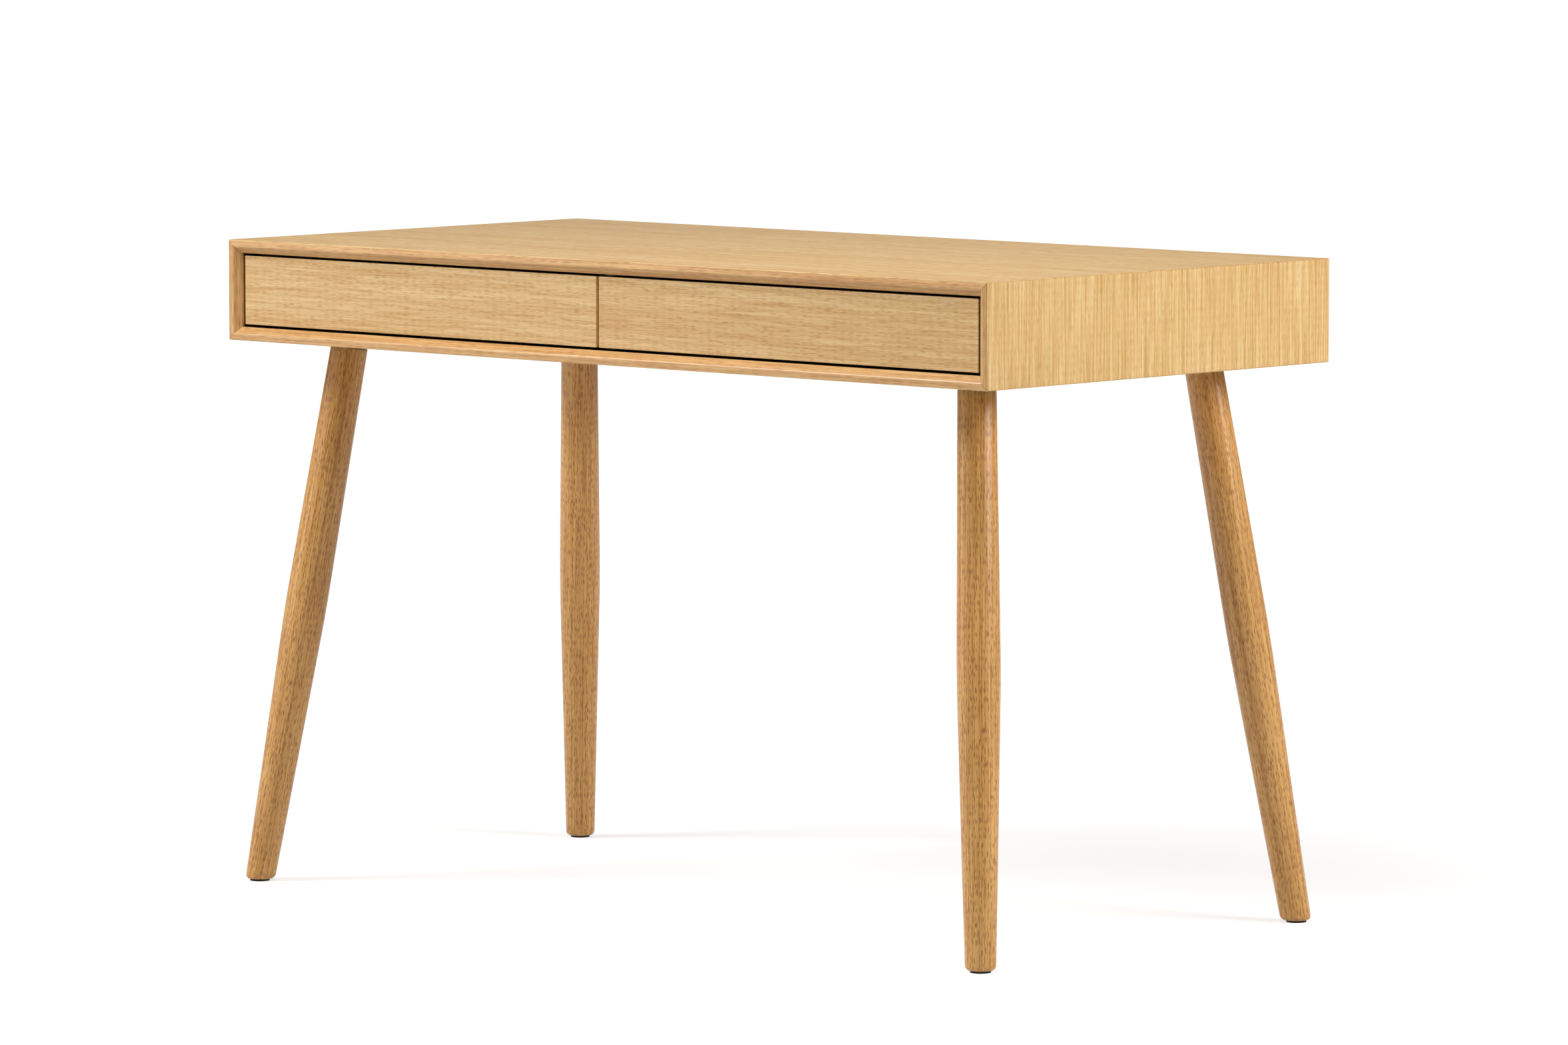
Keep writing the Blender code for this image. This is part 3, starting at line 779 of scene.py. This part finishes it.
def add_screw(bm, place, toward, radius, rise):
    """Adds a cross-head screw's head. toward points out of the surface it is driven into."""
    profile = [(radius, -0.0012)]
    dome_steps = 4
    for step in range(dome_steps + 1):
        angle = math.pi / 3 * step / dome_steps
        inward = radius * (1 - 0.28 * math.sin(angle) ** 2)
        profile.append((inward, rise * math.sin(angle) / math.sin(math.pi / 3)))
    steps = 24
    rings = []
    for r, height in profile:
        ring = []
        for step in range(steps):
            angle = math.tau * step / steps
            ring.append(bm.verts.new((r * math.cos(angle), r * math.sin(angle), height)))
        rings.append(ring)
    arm = 0.13 * radius
    reach = 0.52 * radius
    corner_pairs = [(reach, arm), (arm, arm), (arm, reach)]
    cross = []
    for quarter in range(4):
        turn = Matrix.Rotation(math.pi / 2 * quarter, 2)
        for pair in corner_pairs:
            spot = turn @ Vector(pair)
            cross.append(bm.verts.new((spot.x, spot.y, rise)))
    sunk = [bm.verts.new((vert.co.x * 0.6, vert.co.y * 0.6, -0.0004)) for vert in cross]
    for lower, upper in zip(rings, rings[1:]):
        for step in range(steps):
            after = (step + 1) % steps
            bm.faces.new((lower[step], lower[after], upper[after], upper[step]))
    ring_edges = [bm.edges.get((rings[-1][s], rings[-1][(s + 1) % steps])) for s in range(steps)]
    cross_edges = [bm.edges.new((cross[s], cross[(s + 1) % 12])) for s in range(12)]
    bmesh.ops.bridge_loops(bm, edges=ring_edges + cross_edges)
    for step in range(12):
        after = (step + 1) % 12
        bm.faces.new((cross[step], cross[after], sunk[after], sunk[step]))
    bm.faces.new(sunk)
    bm.faces.new(rings[0][::-1])
    made = [vert for ring in rings for vert in ring] + cross + sunk
    matrix = Matrix.Translation(place) @ Vector((0, 0, 1)).rotation_difference(toward).to_matrix().to_4x4()
    bmesh.ops.transform(bm, matrix=matrix, verts=made)


zinc_look = surface_material("zinc plate", metal_group, 1.0, 0.00001, roughness=0.28)
cage_look = surface_material(
    "cage steel", metal_group, 1.0, 0.00001, bright=(0.42, 0.43, 0.45, 1.0), dull=(0.24, 0.25, 0.27, 1.0)
)
ball_look = surface_material(
    "ball steel",
    metal_group,
    1.0,
    0.000001,
    bright=(0.75, 0.76, 0.78, 1.0),
    dull=(0.6, 0.61, 0.63, 1.0),
    roughness=0.08,
)
# How a member's section sits off its wall: back of the web, tips of the flanges, half its
# height and its sheet thickness.
sections = {
    "case_member": (0.0003, 0.0095, 0.0225, 0.0012),
    "case_cage": (0.0018, 0.0090, 0.0194, 0.0005),
    "middle_member": (0.0026, 0.0102, 0.0170, 0.0010),
    "drawer_cage": (0.00405, 0.0095, 0.01465, 0.0005),
    "drawer_member": (0.0127, 0.0050, 0.0128, 0.0012),
}
holes_along = {
    "case_member": (0.035, 0.128, 0.224, 0.320, 0.415),
    "middle_member": (0.050, 0.150, 0.270, 0.370),
    "drawer_member": (0.035, 0.110, 0.200, 0.290, 0.415),
}
screwed = {"case_member": (0.035, 0.224, 0.415), "drawer_member": (0.035, 0.200, 0.415)}
hole_radius = 0.0033
ball_rows = {"case_cage": (0.0058, 0.01915, 0.0020), "drawer_cage": (0.0072, 0.0144, 0.00148)}
balls_in_row = 9
for side, sx in (("left", -1), ("right", 1)):
    carriers = {
        "case_member": "case",
        "case_cage": f"case_cages_{side}",
        "middle_member": f"middle_members_{side}",
        "drawer_cage": f"drawer_cages_{side}",
        "drawer_member": f"drawer_{side}",
    }
    for position in ("outer", "inner"):
        for member, (back, lip, half_height, sheet) in sections.items():
            node = f"slide_{side}_{position}_{member}"
            low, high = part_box(node)
            facing = -sx if position == "outer" else sx
            near_wall = min(back, lip)
            wall_x = (low.x if facing > 0 else high.x) - facing * near_wall
            middle_z = (low.z + high.z) / 2
            web = back + math.copysign(sheet, lip - back)
            outline = [
                (back, -half_height),
                (lip, -half_height),
                (lip, sheet - half_height),
                (web, sheet - half_height),
                (web, half_height - sheet),
                (lip, half_height - sheet),
                (lip, half_height),
                (back, half_height),
            ]
            points = [Vector((wall_x + facing * out, low.y, middle_z + up)) for out, up in outline]
            bm = extruded(points, Vector((0, high.y - low.y, 0)))
            back_x = wall_x + facing * back
            bends = [e for e in bm.edges if all(abs(v.co.x - back_x) < 1e-6 for v in e.verts)]
            bends = [e for e in bends if abs(e.verts[0].co.y - e.verts[1].co.y) > 0.1]
            soften(bm, bends, sheet * 1.1, 3)
            if member in holes_along:
                tool = bmesh.new()
                for along in holes_along[member]:
                    start = Vector((wall_x + facing * (back - 0.003), low.y + along, middle_z))
                    add_rod(tool, hole_radius, start, start + Vector((facing * 0.006, 0, 0)))
                bm = carved(bm, tool)
            look, slot = (cage_look, "cage_steel") if "cage" in member else (zinc_look, "zinc_steel")
            make_piece(f"runner_{side}_{position}_{member}", bm, look, carriers[member], [node], 35)
            if member in screwed:
                bm = bmesh.new()
                out = facing * math.copysign(1, lip - back)
                for along in screwed[member]:
                    seat = Vector((wall_x + facing * back + out * 0.0004, low.y + along, middle_z))
                    add_screw(bm, seat, Vector((out, 0, 0)), 0.0030, 0.0006)
                name = f"runner_screws_{side}_{position}_{member}"
                make_piece(name, bm, zinc_look, carriers[member], smooth=35)
            if member in ball_rows:
                out, up, radius = ball_rows[member]
                bm = bmesh.new()
                for row in (-1, 1):
                    for count in range(balls_in_row):
                        y = low.y + (high.y - low.y) * (count + 0.5) / balls_in_row
                        spot = Matrix.Translation((wall_x + facing * out, y, middle_z + row * up))
                        bmesh.ops.create_uvsphere(
                            bm, u_segments=10, v_segments=6, radius=radius, matrix=spot
                        )
                name = f"balls_{side}_{position}_{member}"
                make_piece(name, bm, ball_look, carriers[member], smooth=60)

# ---------------------------------------------------------------------------------------
# Leg mounts. A square steel plate with round corners is screwed under the case at each
# corner. A slanted boss carries the hanger bolt that the leg is screwed onto, so the leg
# stops just short of the case and leans out.
# ---------------------------------------------------------------------------------------

plate_side = 0.070
plate_corner = 0.006
plate_thickness = 0.004
plate_hole_at = 0.0265
boss_radius = 0.010
bolt_radius = 0.004
bolt_start = 0.0016
bolt_length = 0.048
pitch = 0.00125
thread_depth = 0.0006


def build_coating():
    """Moulded plastic or baked powder paint: a fine pebbled skin with dust in the hollows."""
    tree, given, result = new_group(
        "fine skin",
        [
            ("Main", "Color", (0.10, 0.11, 0.12, 1.0)),
            ("Dusty", "Color", (0.16, 0.16, 0.16, 1.0)),
            ("Grain", "Float", 1400.0),
            ("Roughness", "Float", 0.4),
        ],
    )
    skin = add_node(tree, "TexNoise", {"Vector": given["Vector"], "Scale": given["Grain"], "Detail": 2.0})
    cloud = noise(tree, given["Vector"], (40.0, 40.0, 40.0), 4.0)
    pebble = skin.outputs["Fac"]
    tone = ramp(tree, maths(tree, "ADD", pebble, swing(tree, cloud, 1.2)), 0.3, 0.8)
    rough = maths(tree, "ADD", given["Roughness"], maths(tree, "MULTIPLY", tone, 0.15))
    tree.links.new(mixed(tree, tone, given["Main"], given["Dusty"]), result["Color"])
    tree.links.new(rough, result["Roughness"])
    tree.links.new(pebble, result["Height"])
    return tree


skin_group = build_coating()
plate_look = surface_material("plate paint", skin_group, 0.0, 0.00002)
for corner in corners:
    top, length, turn = leg_placing(corner)
    lean = length / top.z
    plate_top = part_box(f"leg_plate_{corner}")[1].z
    points = []
    corner_steps = 6
    for quarter, (sx, sy) in enumerate([(1, 1), (-1, 1), (-1, -1), (1, -1)]):
        for step in range(corner_steps + 1):
            angle = math.pi / 2 * (quarter + step / corner_steps)
            x = sx * (plate_side / 2 - plate_corner) + plate_corner * math.cos(angle)
            y = sy * (plate_side / 2 - plate_corner) + plate_corner * math.sin(angle)
            points.append(Vector((top.x + x, top.y + y, plate_top)))
    bm = extruded(points, Vector((0, 0, -plate_thickness)))
    soften(bm, [e for e in bm.edges if len({round(v.co.z, 5) for v in e.verts}) == 1], 0.0005, 2)
    boss_end = leg_drop * lean - 0.0003
    boss_profile = [
        (0.0, -boss_end),
        (boss_radius - 0.0006, -boss_end),
        (boss_radius, -boss_end + 0.0006),
        (boss_radius, -0.002),
        (0.0, -0.002),
    ]
    boss = turned(boss_profile, 32)
    tilt(boss, top, turn)
    mesh = bpy.data.meshes.new("boss")
    boss.to_mesh(mesh)
    boss.free()
    bm.from_mesh(mesh)
    bpy.data.meshes.remove(mesh)
    make_piece(f"mount_{corner}", bm, plate_look, "case", [f"leg_plate_{corner}"], 35)

    bm = bmesh.new()
    for x in (-plate_hole_at, plate_hole_at):
        for y in (-plate_hole_at, plate_hole_at):
            seat = Vector((top.x + x, top.y + y, plate_top - plate_thickness))
            add_screw(bm, seat, Vector((0, 0, -1)), 0.0042, 0.0030)
    make_piece(f"mount_screws_{corner}", bm, zinc_look, "case", smooth=35)

    bolt_end = bolt_start + bolt_length
    bolt = [(0.0, -bolt_start)]
    for count in range(int((bolt_end - bolt_start) / pitch)):
        crest = -bolt_start - pitch * (count + 0.25)
        bolt.append((bolt_radius, crest))
        bolt.append((bolt_radius - thread_depth, crest - pitch / 2))
    bolt.append((0.0, -bolt_end))
    bm = turned(bolt, 20)
    tilt(bm, top, turn)
    make_piece(f"hanger_bolt_{corner}", bm, zinc_look, "case", [f"leg_bolt_{corner}"], 50)

# ---------------------------------------------------------------------------------------
# Felt pads. A pressed felt disc glued under each foot keeps the end grain off the floor.
# ---------------------------------------------------------------------------------------

felt_look = surface_material(
    "felt",
    skin_group,
    0.0,
    0.0003,
    main=(0.035, 0.03, 0.028, 1.0),
    dusty=(0.09, 0.08, 0.075, 1.0),
    grain=900.0,
    roughness=0.85,
)
for corner in corners:
    low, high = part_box(f"foot_pad_{corner}")
    middle = (low + high) / 2
    radius = (high.x - low.x) / 2
    round_off = 0.0004
    pad = [(0.0, low.z), (radius - round_off, low.z), (radius, low.z + round_off)]
    pad += [(radius, high.z - round_off), (radius - round_off, high.z), (0.0, high.z)]
    bm = turned(pad, 48)
    bmesh.ops.translate(bm, vec=Vector((middle.x, middle.y, 0)), verts=bm.verts)
    make_piece(f"felt_{corner}", bm, felt_look, "case", [f"foot_pad_{corner}"], 40)

# ---------------------------------------------------------------------------------------
# Push latches. One behind each drawer: a flanged moulded barrel screwed to the back panel,
# ribbed for grip, and a sprung plunger with a soft tip that meets the drawer's back.
# ---------------------------------------------------------------------------------------

barrel_look = surface_material(
    "latch plastic", skin_group, 0.0, 0.00002, main=(0.15, 0.15, 0.16, 1.0), dusty=(0.2, 0.2, 0.21, 1.0)
)
tip_look = surface_material(
    "latch tip",
    skin_group,
    0.0,
    0.00003,
    main=(0.03, 0.03, 0.03, 1.0),
    dusty=(0.07, 0.07, 0.07, 1.0),
    roughness=0.6,
)
flange_thickness = 0.003
flange_radius = 0.016
barrel_radius = 0.009
bore_radius = 0.0043
bore_depth = 0.050
tip_length = 0.006
for side in ("left", "right"):
    low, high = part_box(f"push_latch_{side}_barrel")
    middle = (low + high) / 2
    length = high.y - low.y
    facing_front = Matrix.Translation((middle.x, high.y, middle.z)) @ Matrix.Rotation(math.pi / 2, 4, "X")
    ease = 0.0006
    profile = [
        (0.0, length - bore_depth),
        (bore_radius, length - bore_depth),
        (bore_radius, length - ease),
        (bore_radius + ease, length),
        (barrel_radius - ease, length),
        (barrel_radius, length - ease),
    ]
    rib_steps = 10
    rib_pitch = 0.006
    for count in range(rib_steps):
        start = length - 0.012 - count * rib_pitch
        for r, offset in ((barrel_radius, 0.0), (0.0084, 0.0006), (0.0084, 0.0024), (barrel_radius, 0.003)):
            profile.append((r, start - offset))
    profile += [
        (barrel_radius, flange_thickness + 0.002),
        (barrel_radius + 0.002, flange_thickness),
        (flange_radius - ease, flange_thickness),
        (flange_radius, flange_thickness - ease),
        (flange_radius, 0.0),
        (0.0, 0.0),
    ]
    bm = turned(profile, 40)
    bmesh.ops.transform(bm, matrix=facing_front, verts=bm.verts)
    make_piece(
        f"latch_{side}_barrel", bm, barrel_look, "case", [f"push_latch_{side}_barrel"], 35
    )
    bm = bmesh.new()
    for offset in (-0.0128, 0.0128):
        seat = Vector((middle.x + offset, high.y - flange_thickness, middle.z))
        add_screw(bm, seat, Vector((0, -1, 0)), 0.0026, 0.0014)
    make_piece(f"latch_{side}_screws", bm, zinc_look, "case", smooth=35)

    low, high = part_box(f"push_latch_{side}_plunger")
    length = high.y - low.y
    tip_radius = (high.x - low.x) / 2
    shaft_radius = tip_radius - 0.001
    tip = Matrix.Translation((middle.x, low.y, middle.z)) @ Matrix.Rotation(math.pi / 2, 4, "X")
    profile = [(0.0, 0.0)]
    tip_steps = 6
    tip_round = 0.0022
    for step in range(tip_steps + 1):
        angle = math.pi / 2 * step / tip_steps
        r = tip_radius - tip_round * (1 - math.sin(angle))
        profile.append((r, -tip_round * (1 - math.cos(angle))))
    profile += [
        (tip_radius, -tip_length),
        (shaft_radius, -tip_length),
        (shaft_radius, -length),
        (0.0, -length),
    ]
    bm = turned(profile, 32)
    bmesh.ops.transform(bm, matrix=tip, verts=bm.verts)
    node = f"push_latch_{side}_plunger"
    make_piece(f"latch_{side}_plunger", bm, tip_look, f"plunger_{side}", [node], 35)

# ---------------------------------------------------------------------------------------
# Panel screws. Small flush screws hold the back panel along its edges and each drawer's
# bottom to the underside of its back.
# ---------------------------------------------------------------------------------------

bm = bmesh.new()
inset = 0.008
for z in (back_low.z + inset, back_high.z - inset):
    for count in range(7):
        x = back_low.x + 0.03 + (back_high.x - back_low.x - 0.06) * count / 6
        add_screw(bm, Vector((x, back_high.y, z)), Vector((0, 1, 0)), 0.0032, 0.0004)
make_piece("back_screws", bm, zinc_look, "case", smooth=35)
for side in ("left", "right"):
    low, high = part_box(f"drawer_{side}_bottom")
    bm = bmesh.new()
    for count in range(4):
        x = low.x + 0.06 + (high.x - low.x - 0.12) * count / 3
        add_screw(bm, Vector((x, high.y - 0.006, low.z)), Vector((0, 0, -1)), 0.0030, 0.0004)
    make_piece(f"box_{side}_screws", bm, zinc_look, f"drawer_{side}", smooth=35)

# ---------------------------------------------------------------------------------------
# Studio. A pale floor that shows from above only, a white surround, a large soft light on
# either hand, smaller ones low on the left, overhead and behind, and a long lens.
# ---------------------------------------------------------------------------------------

floor_half = 60.0
bm = bmesh.new()
bmesh.ops.create_grid(bm, x_segments=1, y_segments=1, size=floor_half)
floor_mesh = bpy.data.meshes.new("floor")
bm.to_mesh(floor_mesh)
bm.free()
floor = bpy.data.objects.new("floor", floor_mesh)
bpy.context.scene.collection.objects.link(floor)
floor_material = bpy.data.materials.new("studio floor")
floor_material.use_nodes = True
tree = floor_material.node_tree
paint = tree.nodes["Principled BSDF"]
paint.inputs["Base Color"].default_value = (0.6, 0.6, 0.6, 1.0)
paint.inputs["Roughness"].default_value = 0.9
paint.inputs["Specular IOR Level"].default_value = 0.0
paint.inputs["Emission Color"].default_value = (1.0, 1.0, 1.0, 1.0)
# Painted light: the floor glows. To the camera it runs from 0.62 near the desk to 1.05 beyond 3.2 m, so
# that it fades into the white surround. In reflections it glows at 0.7 of that, laying a painted sheen on
# the wood. Other rays see only its grey paint lit by the lamps.
position = add_node(tree, "TexCoord", {}).outputs["Object"]
from_middle = add_node(tree, "VectorMath", {0: position}, operation="LENGTH").outputs["Value"]
glow = ramp(tree, from_middle, 0.5, 3.2, 0.62, 1.05)
rays = add_node(tree, "LightPath", {}).outputs
glow_in_reflections = maths(tree, "MULTIPLY", rays["Is Glossy Ray"], 0.7)
seen = maths(tree, "MAXIMUM", rays["Is Camera Ray"], glow_in_reflections)
tree.links.new(maths(tree, "MULTIPLY", glow, seen), paint.inputs["Emission Strength"])
clear = add_node(tree, "BsdfTransparent", {})
facing = add_node(tree, "NewGeometry", {}).outputs["Backfacing"]
both = add_node(tree, "MixShader", {0: facing, 1: paint.outputs[0], 2: clear.outputs[0]})
tree.links.new(both.outputs[0], tree.nodes["Material Output"].inputs["Surface"])
floor_mesh.materials.append(floor_material)

world = bpy.data.worlds.new("surround")
bpy.context.scene.world = world
world.use_nodes = True
tree = world.node_tree
rays = add_node(tree, "LightPath", {}).outputs
backdrop = ramp(tree, rays["Is Camera Ray"], 0.0, 1.0, 0.0, 1.05)
fill = 0.14
tree.links.new(maths(tree, "MAXIMUM", fill, backdrop), tree.nodes["Background"].inputs["Strength"])
tree.nodes["Background"].inputs["Color"].default_value = (1.0, 1.0, 1.0, 1.0)


def soft_light(name, place, aim, width, height, power):
    data = bpy.data.lights.new(name, "AREA")
    data.shape = "RECTANGLE"
    data.size = width
    data.size_y = height
    data.energy = power
    light = bpy.data.objects.new(name, data)
    light.location = place
    light.rotation_euler = (Vector(aim) - Vector(place)).to_track_quat("-Z", "Y").to_euler()
    bpy.context.scene.collection.objects.link(light)


soft_light("left box", (-3.0, -3.6, 3.9), (-0.1, 0, 0.5), 1.8, 1.8, 184)
soft_light("low box", (-2.6, -2.6, 0.9), (-0.2, -0.2, 0.6), 1.2, 1.2, 11)
soft_light("right box", (3.5, 1.1, 2.2), (0.3, 0.1, 0.5), 1.6, 1.6, 97)
soft_light("overhead", (0.3, -0.75, 2.2), (0.1, -0.2, 0.7), 1.6, 0.7, 15)
soft_light("back box", (-2.2, 2.4, 1.5), (0, 0, 0.7), 1.6, 1.0, 1.6)

camera_data = bpy.data.cameras.new("camera")
camera_data.sensor_width = 36.0
camera_data.lens = 199.67
camera_data.clip_end = 200.0
camera = bpy.data.objects.new("camera", camera_data)
camera_azimuth = math.radians(42.415)
camera_pitch = math.radians(5.252)
away = Vector(
    (
        math.sin(camera_azimuth) * math.cos(camera_pitch),
        -math.cos(camera_azimuth) * math.cos(camera_pitch),
        math.sin(camera_pitch),
    )
)
camera.location = (6.8757, -7.4996, 1.3830)
camera.rotation_euler = (-away).to_track_quat("-Z", "Y").to_euler()
bpy.context.scene.collection.objects.link(camera)
bpy.context.scene.camera = camera
bpy.context.scene.view_settings.view_transform = "Standard"
